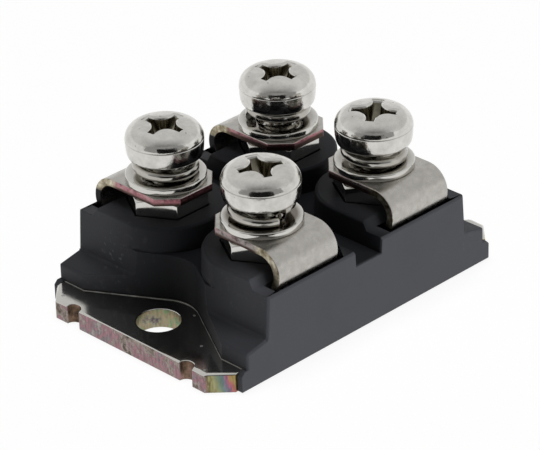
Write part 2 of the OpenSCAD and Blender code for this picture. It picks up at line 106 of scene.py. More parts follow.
class ModuleSizes(bpy.types.PropertyGroup):
    """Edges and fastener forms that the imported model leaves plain."""
    moulding_edge: length("Moulding edge", "Rounding of the housing's outer edges", 0.07)
    plate_roll: length("Plate roll", "Rounding that blanking leaves round the plate's top", 0.1)
    plate_corner: length("Plate corner", "Cut-off of the plate's corners along each side", 1.9)
    corner_roll: length("Corner roll", "How far the plate's top sinks at its corners", 0.25)
    roll_angle: angle("Roll angle", "Slant of the plate's top at its corners", 21)
    plate_burr: length("Plate edge", "Rounding of the plate's other edges", 0.06)
    strip_edge: length("Strip edge", "Rounding of the terminal strips' edges", 0.09)
    bend_r: length("Strip bend", "Outer radius of the terminal strips' bend", 2.4)
    nut_edge: length("Nut edge", "Rounding of the nuts' corners", 0.07)
    washer_edge: length("Washer edge", "Rounding of the plain washers' rims", 0.14)
    head_d: length("Head diameter", "Diameter of the screw heads at their widest ring", 7.45)
    head_base_d: length("Head base", "Diameter of the screw heads at their underside", 7.0)
    head_h: length("Head height", "Height of the screw heads", 3.2)
    head_ring_h: length("Head ring", "Height of the widest ring above the underside", 1.65)
    head_crease: length("Head crease", "Fine line that forging leaves round the widest ring", 0.06)
    drive_d: length("Recess span", "Diameter across the wings of the cross recess", 4.7)
    wing_w: length("Wing width", "Width of a wing of the cross recess", 0.72)
    wing_round: length("Lobe rounding", "Rounding of the lobe between two wings of the recess", 1.4)
    drive_tip: length("Recess tip", "Width of the bottom of the cross recess", 0.84)
    drive_depth: length("Recess depth", "Depth of the cross recess", 2.2)
    recess_lip: length("Recess lip", "Rounding of the recess's rim", 0.27)
    thread_d: length("Thread diameter", "Outer diameter of the screws' thread", 3.9)
    thread_pitch: length("Thread pitch", "Rise of the screws' thread in one turn", 0.7)
    lock_d: length("Lock washer diameter", "Outer diameter of the lock washers", 6.35)
    lock_hole: length("Lock washer hole", "Hole of the lock washers", 4.2)
    lock_t: length("Lock washer wire", "Thickness of the lock washers' wire", 0.95)
    lock_edge: length("Lock washer edge", "Rounding of the lock washers' wire", 0.36)
    lock_split: angle("Lock washer split", "Opening of the lock washers' split", 14)
    washer_hole: length("Washer hole", "Hole of the plain washers", 4.3)


class ModuleColours(bpy.types.PropertyGroup):
    """Colours of the finishes that show."""
    # Painted shade and painted light: the dark colour stays in the middle and the recesses, the
    # paler one goes on the long sides and outer parts, where the light falls
    moulding: colour("Moulding", "Black moulding compound", "#242528")
    moulding_painted_light: colour("Moulding, rubbed", "Moulding compound where it is rubbed", "#4a4b4f")
    nickel: colour("Bright nickel", "Bright nickel plate", "#d6d4cf")
    nickel_dull: colour("Dull nickel", "Nickel plate where it is handled", "#bcbab4")
    screw: colour("Screw nickel", "Nickel plate of the screws", "#e8e6e1")
    screw_dull: colour("Screw nickel, dull", "Screws in hazy patches", "#a6a49e")
    # Painted shade: the two recess colours are darker nickel that stands for the shade in the cross
    # recess
    recess: colour("Recess nickel", "Nickel plate in the cross recess", "#a39e8e")
    recess_shade_dark: colour("Recess nickel, dark", "Nickel plate worn thin in the recess", "#47412f")
    spring: colour("Spring nickel", "Nickel plate of the lock washers", "#c9c7c1")
    spring_dull: colour("Spring nickel, dull", "Lock washers in hazy patches", "#8b887f")
    strip: colour("Strip nickel", "Satin nickel of the terminal strips", "#c0bdb8")
    strip_dull: colour("Strip nickel, dull", "Satin nickel where it is handled", "#a6a39d")
    copper_brown: colour("Brown copper", "Sheared copper where it has browned", "#4a3a34")


class ModuleStage(bpy.types.PropertyGroup):
    """Camera, floor and light."""
    azimuth: angle("Azimuth", "Turn of the camera round the module", -44.43)
    elevation: angle("Elevation", "Height of the camera as an angle", 28.67)
    roll: angle("Roll", "Turn of the camera about its own axis", -1.76)
    distance: length("Distance", "Distance from the camera to its aim", 293.2)
    aim_height: length("Aim height", "Height of the camera's aim above the floor", 7)
    aim_right: length("Aim right", "Shift of the aim to the right in the picture", -0.174)
    aim_up: length("Aim up", "Shift of the aim upwards in the picture", -0.9615)
    lens: FloatProperty(name="Lens", description="Focal length of the lens in millimetres",
                        default=206.1, unit="CAMERA")
    floor_size: length("Floor", "Width of the floor", 3000)
    floor: colour("Floor colour", "Pale floor", "#f4f4f4")
    floor_glow: share("Floor glow", "Floor's own level of white", 0.88)
    floor_bounce: share("Floor bounce", "Light that the floor throws up", 0.9)
    fill: share("Fill", "Light from all round on dull surfaces", 0.02)
    softbox_distance: length("Softbox distance", "Distance from the module to a softbox", 600)
    softbox_size: length("Softbox size", "Width of a softbox", 400)
    key_azimuth: angle("Key azimuth", "Turn of the front softbox round the module", 12)
    key_elevation: angle("Key elevation", "Height of the front softbox as an angle", 20)
    key_power: power("Key power", "Power of the front softbox", 2.15)
    top_power: power("Top power", "Power of the upper softbox", 0.9)
    floor_power: power("Floor power", "Power of the floor's softbox", 2.4)
    ceiling_height: length("Ceiling height", "Height of the ceiling above the floor", 500)
    ceiling_shift: length("Ceiling shift", "How far the dim part lies towards the camera", 800)
    ceiling_reach: length("Ceiling reach", "Radius of the dim part of the ceiling", 1050)
    ceiling: colour("Ceiling colour", "Pale grey ceiling", "#e6e6e6")
    ceiling_dim: colour("Dim ceiling colour", "Ceiling above the camera", "#5c5c5c")
    card_near: length("Card foot", "Distance from the module to the dark card's foot", 42)
    card_far: length("Card head", "Distance from the module to the dark card's top", 200)
    card_top: length("Card top", "Height of the dark card's top", 122)
    card_spread: angle("Card spread", "Half of the angle that the dark card covers", 27)
    card: colour("Card colour", "Dark card", "#141414")
    wall_near: length("Wall foot", "Distance from the module to the grey wall's foot", 60)
    wall_far: length("Wall head", "Distance from the module to the grey wall's top", 700)
    wall_top: length("Wall top", "Height of the grey wall's top", 620)
    wall_spread: angle("Wall spread", "Half of the angle that the grey wall covers", 58)
    wall: colour("Wall colour", "Grey wall", "#a4a4a4")


def mm(metres):
    """A length in millimetres."""
    return metres / MM


def posts():
    """Places of the four screws on top of the terminals, in millimetres."""
    places = {m["name"]: Vector(m["pos_m"]) / MM for m in frame["record"]["mounts"]}
    return [places[name + "_clamp"] for name in POSTS]


def lowest(node):
    """Height of a node's lowest point in millimetres."""
    return mm(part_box(node)[0].z)


def highest(node):
    """Height of a node's highest point in millimetres."""
    return mm(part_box(node)[1].z)


# Shapes


def weld(bm):
    """Merges points that lie on each other, and turns the faces outwards again."""
    bmesh.ops.remove_doubles(bm, verts=bm.verts, dist=0.0005)
    bmesh.ops.recalc_face_normals(bm, faces=bm.faces)


def cad_copy(node):
    """A merged copy of a CAD node's mesh in millimetres, with its flat faces whole again."""
    bm = bmesh.new()
    bm.from_mesh(frame["nodes"][node].data)
    bmesh.ops.scale(bm, vec=Vector((1, 1, 1)) / MM, verts=bm.verts)
    bmesh.ops.remove_doubles(bm, verts=bm.verts, dist=0.002)
    # A sliver can lie along an edge that its two neighbours share already
    slivers = [f for f in bm.faces if any(e.is_boundary for e in f.edges)]
    bmesh.ops.delete(bm, geom=slivers, context="FACES")
    bmesh.ops.dissolve_limit(bm, angle_limit=math.radians(0.4), verts=bm.verts, edges=bm.edges)
    return bm


def sharp_edges(bm, degrees):
    """The edges where two faces meet outwards at more than an angle."""
    least = math.radians(degrees)
    return [e for e in bm.edges if e.is_manifold and e.calc_face_angle_signed() > least]


def round_edges(bm, edges, radius, segments):
    """Rounds edges to a radius."""
    bmesh.ops.bevel(bm, geom=edges, offset=radius, offset_type="OFFSET", segments=segments,
                    profile=0.5, affect="EDGES", material=-1, loop_slide=True)
    weld(bm)


def cut_off(bm, point, normal):
    """Takes off what lies beyond a plane, and closes the cut."""
    made = bmesh.ops.bisect_plane(bm, geom=bm.verts[:] + bm.edges[:] + bm.faces[:],
                                  plane_co=point, plane_no=normal, clear_outer=True)
    rim = [e for e in made["geom_cut"] if isinstance(e, bmesh.types.BMEdge)]
    bmesh.ops.holes_fill(bm, edges=rim, sides=0)


def outline(points):
    """A wire through points of radius and height, in the plane of X and Z."""
    bm = bmesh.new()
    verts = [bm.verts.new((r, 0, z)) for r, z in points]
    for a, b in zip(verts, verts[1:]):
        bm.edges.new((a, b))
    return bm


def spun(points, steps):
    """A closed outline of radius and height, turned once round the Z axis."""
    bm = outline(points)
    bmesh.ops.spin(bm, geom=bm.verts[:] + bm.edges[:], cent=(0, 0, 0), axis=UP,
                   angle=math.tau, steps=steps, use_merge=True)
    weld(bm)
    return bm


def combined(first, second, operation):
    """The union or difference of two closed shapes, which are used up."""
    objects = []
    for bm in (first, second):
        mesh = bpy.data.meshes.new("shape")
        bm.to_mesh(mesh)
        bm.free()
        objects.append(bpy.data.objects.new("shape", mesh))
        bpy.context.scene.collection.objects.link(objects[-1])
    step = objects[0].modifiers.new("step", "BOOLEAN")
    step.operation = operation
    step.object = objects[1]
    step.solver = "EXACT"
    bpy.context.view_layer.update()
    result = bmesh.new()
    shape = objects[0].evaluated_get(bpy.context.evaluated_depsgraph_get())
    result.from_mesh(shape.to_mesh())
    shape.to_mesh_clear()
    weld(result)
    for obj in objects:
        bpy.data.meshes.remove(obj.data)
    return result


def at_posts(one, turns):
    """Copies of one fastener at the four screws, each with its own turn."""
    whole = bmesh.new()
    mesh = bpy.data.meshes.new("fastener")
    for place, turn in zip(posts(), turns):
        copy = one.copy()
        move = Matrix.Translation((place.x, place.y, 0)) @ Matrix.Rotation(turn, 4, "Z")
        bmesh.ops.transform(copy, matrix=move, verts=copy.verts)
        copy.to_mesh(mesh)
        copy.free()
        whole.from_mesh(mesh)
    bpy.data.meshes.remove(mesh)
    one.free()
    return whole


def add_piece(bm, name, slot, materials, *nodes):
    """Turns a shape to metres and makes it a piece that stands for its CAD nodes."""
    smooth = 35
    bmesh.ops.scale(bm, vec=Vector((MM, MM, MM)), verts=bm.verts)
    mesh = bpy.data.meshes.new(name)
    bm.to_mesh(mesh)
    bm.free()
    for material in materials:
        mesh.materials.append(material)
    mesh.shade_smooth()
    mesh.set_sharp_from_angle(angle=math.radians(smooth))
    obj = bpy.data.objects.new(name, mesh)
    bpy.context.scene.collection.objects.link(obj)
    even = obj.modifiers.new("Even shading", "WEIGHTED_NORMAL")
    even.keep_sharp = True
    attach(obj, "root")
    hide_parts(*nodes)


# Materials


def feed(tree, node, inputs):
    """Gives inputs of a node values or links. A node given as a value means its first output."""
    for key, value in inputs.items():
        if isinstance(value, bpy.types.Node):
            value = next(output for output in value.outputs if output.enabled)
        if isinstance(value, bpy.types.NodeSocket):
            tree.links.new(value, node.inputs[key])
        else:
            node.inputs[key].default_value = value


def add_node(tree, kind, *values, named=None, stops=(), **settings):
    """Adds a node with its settings, and feeds the inputs that it shows, in order or by name.

    The stops of a ramp are positions with sRGB colours."""
    made = tree.nodes.new("ShaderNode" + kind)
    for i, (position, hex_code) in enumerate(stops):
        points = made.color_ramp.elements
        point = points[i] if i < 2 else points.new(position)
        point.position = position
        point.color = linear(hex_code)
    for name, value in settings.items():
        setattr(made, name, value)
    shown = [i for i, socket in enumerate(made.inputs) if socket.enabled]
    feed(tree, made, dict(zip(shown, values)))
    feed(tree, made, named or {})
    return made


def new_material(name):
    """A new material with its tree, its shader and the place on the piece in metres."""
    material = bpy.data.materials.new(name)
    material.use_nodes = True
    tree = material.node_tree
    shader = tree.nodes["Principled BSDF"]
    place = add_node(tree, "TexCoord").outputs["Object"]
    return material, tree, shader, place


def per_mm(size):
    """A pattern's scale for features of a size in millimetres."""
    return 1 / (size * MM)


def black_moulding(colours):
    """Glass-filled thermoset, transfer moulded in a spark-eroded tool: satin, with a fine grain that
    softens highlights, black in its middle and recesses as painted shade, paler on its long sides
    and outer parts as painted light, and smudged on its ends."""
    material, tree, shader, place = new_material("black_thermoset_moulding")
    cloud = add_node(tree, "TexNoise", place, per_mm(4), 4.0, 0.6)
    # The real grain is about 0.03 mm, drawn coarser so that it shows
    grain = add_node(tree, "TexNoise", place, per_mm(0.14), 2.0, 0.5)
    rubbed = add_node(tree, "TexNoise", place, per_mm(0.7), 5.0, 0.7)
    axes = add_node(tree, "SeparateXYZ", place).outputs
    along = add_node(tree, "Math", axes["X"], operation="ABSOLUTE")
    across = add_node(tree, "Math", axes["Y"], operation="ABSOLUTE")
    # Painted light: the long sides are palest, then the outer parts of the ends and tower tops,
    # while the middle and the recesses stay dark as painted shade
    wall_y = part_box("housing")[1].y
    channel, tower_x, tower_y, end_x = 2.0 * MM, 5.0 * MM, 11.0 * MM, 13.2 * MM
    side = add_node(tree, "MapRange", across, wall_y - 0.35 * MM, wall_y - 0.15 * MM)
    outer = add_node(tree, "MapRange", across, channel, tower_y, interpolation_type="SMOOTHSTEP")
    away = add_node(tree, "MapRange", along, channel, tower_x)
    outer_lit = add_node(tree, "Math", outer, away, operation="MULTIPLY")
    handling_and_painted_light = add_node(tree, "Math", side, outer_lit, operation="MAXIMUM")
    uneven = add_node(tree, "Math", cloud, 0.3, 0.85, operation="MULTIPLY_ADD")
    pale = add_node(tree, "Math", handling_and_painted_light, uneven, operation="MULTIPLY")
    body = add_node(tree, "Mix", pale, colours.moulding, colours.moulding_painted_light, data_type="RGBA")
    # Soft smudges, most of them on the ends, and one end wall rubbed in a spot of its own
    spot_place = Vector((-13.3, 8.0, 5.8)) * MM
    spot_r, spot_core = 2.6 * MM, 0.6 * MM
    smudge = add_node(tree, "MapRange", rubbed, 0.56, 0.72)
    patch = add_node(tree, "MapRange", cloud, 0.42, 0.6, 0.0, 0.22)
    end = add_node(tree, "MapRange", along, end_x - 1.2 * MM, end_x, 0.12, 1.0)
    off = add_node(tree, "VectorMath", place, spot_place, operation="DISTANCE")
    spot = add_node(tree, "MapRange", off, spot_r, spot_core)
    where = add_node(tree, "Math", patch, spot, operation="MAXIMUM")
    clouded = add_node(tree, "Math", smudge, where, operation="MULTIPLY")
    scuff = add_node(tree, "Math", clouded, end, operation="MULTIPLY")
    worn = add_node(tree, "Mix", scuff, body, linear("#77777b"), data_type="RGBA")
    rough = add_node(tree, "MapRange", grain, 0.0, 1.0, 0.4, 0.56)
    bump = add_node(tree, "Bump", named={"Height": grain, "Strength": 0.25, "Distance": 0.01 * MM})
    feed(tree, shader, {"Base Color": worn, "Roughness": rough, "Normal": bump, "IOR": 1.52,
                        "Specular IOR Level": 0.06})
    return material


def bright_nickel(name, clean, dull, low, high, wave, washer_shade=()):
    """Nickel plate on a tumbled steel fastener: a near mirror, a little wavy from the blank under
    it, with hazy patches from handling, a few dark pits and a brown ring of painted shade round the
    screws."""
    material, tree, shader, place = new_material(name)
    haze = add_node(tree, "TexNoise", place, per_mm(1.3), 5.0, 0.6)
    pits = add_node(tree, "TexVoronoi", place, per_mm(0.9), feature="F1")
    pit = add_node(tree, "MapRange", pits, 0.05, 0.11, 0.75, 0.0)
    tone = add_node(tree, "Mix", haze, clean, dull, data_type="RGBA")
    tone = add_node(tree, "Mix", pit, tone, linear("#6a655c"), data_type="RGBA")
    rough = add_node(tree, "MapRange", haze, 0.3, 0.7, low, high)
    # Painted shade: each screw's brown ring lies under its lock washer and ends a little outside it
    washer_shade_r, washer_shade_end = 3.2 * MM, 3.68 * MM
    for post, amount in zip(posts(), washer_shade):
        level = add_node(tree, "VectorMath", place, (1, 1, 0), operation="MULTIPLY")
        middle = (post.x * MM, post.y * MM, 0)
        out = add_node(tree, "VectorMath", level, middle, operation="DISTANCE")
        shaded = add_node(tree, "MapRange", out, washer_shade_r, washer_shade_end, amount, 0.0)
        tone = add_node(tree, "Mix", shaded, tone, linear("#5a5042"), data_type="RGBA")
    swell = add_node(tree, "TexNoise", place, per_mm(0.8), 5.0, 0.6)
    bump = add_node(tree, "Bump", named={"Height": swell, "Strength": wave, "Distance": 0.05 * MM})
    feed(tree, shader, {"Base Color": tone, "Roughness": rough, "Normal": bump, "Metallic": 1.0})
    return material


def satin_nickel(colours):
    """Nickel-plated copper strip, rolled lengthwise: a warm satin with faint drawn lines."""
    material, tree, shader, place = new_material("satin_nickel_strip")
    cloud = add_node(tree, "TexNoise", place, per_mm(0.6), 5.0, 0.6)
    drawn = add_node(tree, "Mapping", place, named={"Scale": (1.0, 0.06, 0.06)})
    # Rolling lines are about 0.02 mm apart, drawn coarser so that they show
    lines = add_node(tree, "TexNoise", drawn, per_mm(0.12), 2.0)
    handling_and_painted_light = add_node(tree, "MapRange", cloud, 0.2, 0.8)
    tone = add_node(tree, "Mix", handling_and_painted_light, colours.strip, colours.strip_dull, data_type="RGBA")
    rough = add_node(tree, "MapRange", cloud, 0.3, 0.7, 0.24, 0.36)
    bump = add_node(tree, "Bump", named={"Height": lines, "Strength": 0.12, "Distance": 0.01 * MM})
    feed(tree, shader, {"Base Color": tone, "Roughness": rough, "Normal": bump, "Metallic": 1.0})
    return material


def sheared_copper(colours):
    """Copper bared where the strip was cut after plating: grey and pink flecks of copper under
    smeared nickel, pinkest at the free end, straw round the bend and brown where it tore below."""
    material, tree, shader, place = new_material("sheared_copper_edge")
    patch = add_node(tree, "TexNoise", place, per_mm(0.8), 6.0, 0.68)
    wide = add_node(tree, "TexNoise", place, per_mm(5), 1.0)
    axes = add_node(tree, "SeparateXYZ", place).outputs
    out = add_node(tree, "Math", axes["Y"], operation="ABSOLUTE")
    # Where the bend and the free end begin, and a middle that no strip reaches
    bend_y, free_y, middle = 9.8 * MM, 3.2 * MM, 1.0 * MM
    bend = add_node(tree, "MapRange", out, bend_y - 0.8 * MM, bend_y)
    free = add_node(tree, "MapRange", out, free_y + 1.6 * MM, free_y)
    # The cut of the back row stayed pink up to the bend
    back = add_node(tree, "MapRange", axes["Y"], 0.0, middle, 0.0, 0.85)
    rosy = add_node(tree, "MapRange", wide, 0.5, 0.75)
    row = add_node(tree, "Math", back, rosy, operation="MAXIMUM")
    pink = add_node(tree, "Math", free, row, operation="MAXIMUM")
    # How deep below the outer face the cut is, in millimetres, wandering a little along the strip
    depth = add_node(tree, "Attribute", attribute_name="depth").outputs["Fac"]
    wander = add_node(tree, "Math", patch, 0.6, depth, operation="MULTIPLY_ADD")
    # The two strips at the far end tore sooner
    far = add_node(tree, "MapRange", axes["X"], 0.0, middle, 0.0, 0.22)
    tearing = add_node(tree, "Math", wander, far, operation="ADD")
    torn = add_node(tree, "MapRange", tearing, 0.66, 0.9)
    # Below the bends of the back row the cut is painted near black
    back_leg_black_z = (highest("source_terminal") - 1.75) * MM
    low = add_node(tree, "MapRange", axes["Z"], back_leg_black_z, back_leg_black_z + 0.35 * MM, 1.0, 0.0)
    behind = add_node(tree, "Math", axes["Y"], 0.0, operation="GREATER_THAN")
    back_leg_black = add_node(tree, "Math", low, behind, operation="MULTIPLY")
    tone = add_node(tree, "ValToRGB", patch,
                    stops=((0.34, "#4d4340"), (0.66, "#b1aaa4"), (0.46, "#8f8785")))
    pink_cut = add_node(tree, "ValToRGB", patch,
                        stops=((0.34, "#6b4a4c"), (0.66, "#b59a98"), (0.5, "#b0757d")))
    bent_cut = add_node(tree, "ValToRGB", patch,
                        stops=((0.36, "#5a4f38"), (0.66, "#d6cfbb"), (0.5, "#9a917a")))
    for amount, over in ((pink, pink_cut), (torn, colours.copper_brown), (bend, bent_cut),
                         (back_leg_black, linear("#161617"))):
        tone = add_node(tree, "Mix", amount, tone, over, data_type="RGBA")
    rough = add_node(tree, "MapRange", patch, 0.0, 1.0, 0.25, 0.5)
    bump = add_node(tree, "Bump", named={"Height": patch, "Strength": 0.5, "Distance": 0.04 * MM})
    feed(tree, shader, {"Base Color": tone, "Roughness": rough, "Normal": bump, "Metallic": 1.0})
    return material


def mirror_nickel(colours):
    """Nickel plate over a rolled copper blank: a dark mirror of what stands round it, hazy in
    patches from handling, with a few pale motes of dust."""
    material, tree, shader, place = new_material("nickel_plated_base")
    haze = add_node(tree, "TexNoise", place, per_mm(3), 5.0, 0.6)
    motes = add_node(tree, "TexVoronoi", place, per_mm(1.5), feature="F1")
    near = add_node(tree, "MapRange", motes, 0.04, 0.15, 0.55, 0.0)
    chosen = add_node(tree, "Math", motes.outputs["Color"], 0.5, operation="GREATER_THAN")
    dust = add_node(tree, "Math", near, chosen, operation="MULTIPLY")
    tone = add_node(tree, "Mix", haze, colours.nickel, colours.nickel_dull, data_type="RGBA")
    dusty = add_node(tree, "Mix", dust, tone, linear("#8d8c89"), data_type="RGBA")
    rough = add_node(tree, "MapRange", haze, 0.3, 0.7, 0.08, 0.2)
    rougher = add_node(tree, "Math", rough, dust, operation="MAXIMUM")
    metal = add_node(tree, "Math", 1.0, dust, operation="SUBTRACT")
    bump = add_node(tree, "Bump", named={"Height": haze, "Strength": 0.05, "Distance": 0.02 * MM})
    feed(tree, shader, {"Base Color": dusty, "Roughness": rougher, "Normal": bump,
                        "Metallic": metal})
    return material


def blanked_edge(sizes):
    """The plate's blanked edge: pink copper under torn and smeared plating, brown in the notches,
    with upright tear lines and the colours of thin oxide on the corners and in the holes."""
    material, tree, shader, place = new_material("blanked_copper_edge")
    patch = add_node(tree, "TexNoise", place, per_mm(1.5), 6.0, 0.62)
    stretched = add_node(tree, "Mapping", place, named={"Scale": (1.0, 1.0, 0.3)})
    tear = add_node(tree, "TexNoise", stretched, per_mm(0.25), 4.0)
    axes = add_node(tree, "SeparateXYZ", place).outputs
    along = add_node(tree, "Math", axes["X"], operation="ABSOLUTE")
    across = add_node(tree, "Math", axes["Y"], operation="ABSOLUTE")
    # Which part of the edge this is: a corner, a notch, or the wall of a hole
    end_x, side_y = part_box("base_plate")[1].xy
    cut = sizes.plate_corner
    corner = add_node(tree, "MapRange", across, side_y - cut, side_y - cut + 0.15 * MM)
    notch = add_node(tree, "MapRange", along, end_x - 0.05 * MM, end_x - 0.2 * MM)
    hole = add_node(tree, "MapRange", along, end_x - 1.4 * MM, end_x - 1.6 * MM)
    tone = add_node(tree, "ValToRGB", patch,
                    stops=((0.32, "#453830"), (0.7, "#a8a098"), (0.39, "#7f736b"),
                           (0.45, "#a2978f"), (0.5, "#8f787a"), (0.56, "#a57c82"),
                           (0.61, "#84797e")))
    torn = add_node(tree, "ValToRGB", patch,
                    stops=((0.35, "#3a2e26"), (0.64, "#9c7d76"), (0.5, "#75604f")))
    wall = add_node(tree, "ValToRGB", patch,
                    stops=((0.32, "#6b6066"), (0.66, "#6f9772"), (0.42, "#a39f86"),
                           (0.5, "#a8977c"), (0.57, "#8fa07c")))
    # The oxide thickens along a corner's face and a little towards its top, in blotches. Height and
    # blotches together take about this much off the way along the face
    taken = 2.2 * MM
    run = add_node(tree, "Math", along, across, operation="SUBTRACT")
    lift = add_node(tree, "Math", axes["Z"], -0.4, run, operation="MULTIPLY_ADD")
    blotch = add_node(tree, "Math", patch, tear, operation="ADD")
    shift = add_node(tree, "Math", blotch, -1.8 * MM, lift, operation="MULTIPLY_ADD")
    middle = end_x - side_y - taken
    film = add_node(tree, "MapRange", shift, middle + cut, middle - cut)
    tint = add_node(tree, "ValToRGB", film,
                    stops=((0.0, "#6f5f50"), (1.0, "#a8935f"), (0.14, "#969065"), (0.3, "#a6a277"),
                           (0.45, "#85937c"), (0.58, "#718a86"), (0.7, "#837d8c"),
                           (0.8, "#ab7186"), (0.9, "#b8746e")))
    for amount, over in ((notch, torn), (hole, wall), (corner, tint)):
        tone = add_node(tree, "Mix", amount, tone, over, data_type="RGBA")
    speck = add_node(tree, "MapRange", tear, 0.3, 0.7, 0.6, 1.1)
    tone = add_node(tree, "Mix", 1.0, tone, speck, data_type="RGBA", blend_type="MULTIPLY")
    rough = add_node(tree, "MapRange", tear, 0.0, 1.0, 0.28, 0.52)
    bump = add_node(tree, "Bump", named={"Height": tear, "Strength": 0.6, "Distance": 0.04 * MM})
    feed(tree, shader, {"Base Color": tone, "Roughness": rough, "Normal": bump, "Metallic": 1.0})
    return material


def silicone_bead():
    """Cured silicone, squeezed out thin: a near-white painted highlight along its foot on the plate,
    dark above.
    """
    material, tree, shader, place = new_material("cured_silicone_bead")
    cloud = add_node(tree, "TexNoise", place, per_mm(1.5), 4.0)
    axes = add_node(tree, "SeparateXYZ", place).outputs
    low, high = lowest("base_seal") * MM, highest("base_seal") * MM
    fade = 0.2 * (high - low)
    highlight_top = low + 2 * fade
    above = add_node(tree, "MapRange", axes["Z"], highlight_top, highlight_top + fade)
    # Painted highlight: a near-white band at the bead's foot
    foot = add_node(tree, "ValToRGB", cloud, stops=((0.36, "#8a8a87"), (0.6, "#f0f0ec")))
    tone = add_node(tree, "Mix", above, foot, linear("#1c1c1d"), data_type="RGBA")
    rough = add_node(tree, "MapRange", cloud, 0.0, 1.0, 0.27, 0.43)
    feed(tree, shader, {"Base Color": tone, "Roughness": rough})
    return material


def plain_finish(name, light, dark, grain, roughness, metallic=0.0):
    """A sealed inner piece: two tones of its own colour in a fine grain."""
    material, tree, shader, place = new_material(name)
    cloud = add_node(tree, "TexNoise", place, per_mm(grain), 4.0)
    tone = add_node(tree, "Mix", cloud, linear(light), linear(dark), data_type="RGBA")
    rough = add_node(tree, "MapRange", cloud, 0.0, 1.0, roughness - 0.08, roughness + 0.08)
    bump = add_node(tree, "Bump", named={"Height": cloud, "Strength": 0.15, "Distance": 0.01 * MM})
    feed(tree, shader, {"Base Color": tone, "Roughness": rough, "Normal": bump,
                        "Metallic": metallic})
    return material


# Pieces


class MODULE_OT_housing(bpy.types.Operator):
    """Makes the moulded housing with rounded edges"""
    bl_idname = "module.housing"
    bl_label = "Housing"

    def execute(self, context):
        bm = cad_copy("housing")
        radius = mm(context.scene.module_sizes.moulding_edge)
        round_edges(bm, sharp_edges(bm, degrees=25), radius, segments=2)
        finish = black_moulding(context.scene.module_colours)
        add_piece(bm, "moulded_housing", "moulded_black", [finish], "housing")
        return {"FINISHED"}


class MODULE_OT_base_plate(bpy.types.Operator):
    """Makes the blanked base plate, plated on its faces and worn round its edge"""
    bl_idname = "module.base_plate"
    bl_label = "Base plate"

    def execute(self, context):
        sizes = context.scene.module_sizes
        bm = cad_copy("base_plate")
        top = highest("base_plate")
        self.roll_corners(bm, top, sizes)
        bm.normal_update()
        low = top - 2 * mm(sizes.corner_roll)
        upper = [e for e in sharp_edges(bm, degrees=40) if min(v.co.z for v in e.verts) > low]
        round_edges(bm, upper, mm(sizes.plate_roll), segments=3)
        round_edges(bm, sharp_edges(bm, degrees=40), mm(sizes.plate_burr), segments=2)
        bm.normal_update()
        upright = 0.3
        for face in bm.faces:
            face.material_index = 1 if abs(face.normal.z) < upright else 0
        finishes = [mirror_nickel(context.scene.module_colours), blanked_edge(sizes)]
        add_piece(bm, "plated_base", "nickel_plate", finishes, "base_plate")
        return {"FINISHED"}

    def roll_corners(self, bm, top, sizes):
        """Slants the top down towards the ends' corners, where blanking draws the metal most."""
        end_x, side_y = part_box("base_plate")[1].xy / MM
        corner_y = side_y - mm(sizes.plate_corner)
        drop = mm(sizes.corner_roll)
        corner_drop = 0.6 * drop
        slope = math.tan(sizes.roll_angle)
        sideways = drop / (0.7 * side_y)
        steepness = 1.4
        for sx in (-1, 1):
            for sy in (-1, 1):
                # One slant over the end, deepest at the corner, and one over the corner itself
                cut_off(bm, (sx * end_x, sy * side_y, top - drop), (sx * slope, sy * sideways, 1))
                cut_off(bm, (sx * end_x, sy * corner_y, top - corner_drop),
                        (sx * slope, sy * slope, steepness))


class MODULE_OT_terminals(bpy.types.Operator):
    """Makes the four bent terminal strips with sheared edges"""
    bl_idname = "module.terminals"
    bl_label = "Terminals"

    def execute(self, context):
        sizes = context.scene.module_sizes
        colours = context.scene.module_colours
        finishes = [satin_nickel(colours), sheared_copper(colours)]
        # A strip's free end lies further than this inside its screw
        end_reach = 3
        upright, sideways = 0.5, 0.3
        for name, post in zip(POSTS, posts()):
            node = name + "_terminal"
            bm = cad_copy(node)
            inner = abs(post.y) - end_reach
            for face in bm.faces:
                inside = abs(face.calc_center_median().y) < inner
                free_end = inside and abs(face.normal.z) < upright
                face.material_index = 1 if abs(face.normal.x) > sideways or free_end else 0
            round_edges(bm, sharp_edges(bm, degrees=40), mm(sizes.strip_edge), segments=3)
            self.measure_depth(bm, highest(node), mm(sizes.bend_r))
            add_piece(bm, name + "_strip", "nickel_strip", finishes, node)
        return {"FINISHED"}

    def measure_depth(self, bm, top, bend):
        """Keeps how deep each point lies below the strip's outer face, round its bend too."""
        side = max(abs(v.co.y) for v in bm.verts)
        depth = bm.verts.layers.float.new("depth")
        for vert in bm.verts:
            across = abs(vert.co.y) - side + bend
            above = vert.co.z - top + bend
            if above > 0 and across > 0:
                vert[depth] = bend - math.hypot(across, above)
            else:
                vert[depth] = bend - max(across, above)


class MODULE_OT_nuts(bpy.types.Operator):
    """Makes the captive hex nuts"""
    bl_idname = "module.nuts"
    bl_label = "Nuts"

    def execute(self, context):
        colours = context.scene.module_colours
        bm = cad_copy("hex_nuts")
        radius = mm(context.scene.module_sizes.nut_edge)
        round_edges(bm, sharp_edges(bm, degrees=25), radius, segments=2)
        finish = bright_nickel("bright_nickel_nut", colours.nickel, colours.nickel_dull,
                               low=0.06, high=0.14, wave=0.05)
        add_piece(bm, "captive_nuts", "bright_steel", [finish], "hex_nuts")
        return {"FINISHED"}


def head_shoulder(sizes, height):
    """Radius and height of the points of a screw head's shoulder, from its ring to its dome."""
    ring = mm(sizes.head_d) / 2
    ring_h = mm(sizes.head_ring_h)
    bend = 0.9 * (height - ring_h)
    turn = math.radians(82)
    steps = 14
    return [(ring - bend * (1 - math.cos(a)), ring_h + bend * math.sin(a))
            for a in (turn * i / steps for i in range(steps + 1))]


def dome_height(sizes, height, radius):
    """Height of a screw head's shallow dome at a radius."""
    edge_r, edge_z = head_shoulder(sizes, height)[-1]
    return height - (height - edge_z) * (radius / edge_r) ** 2


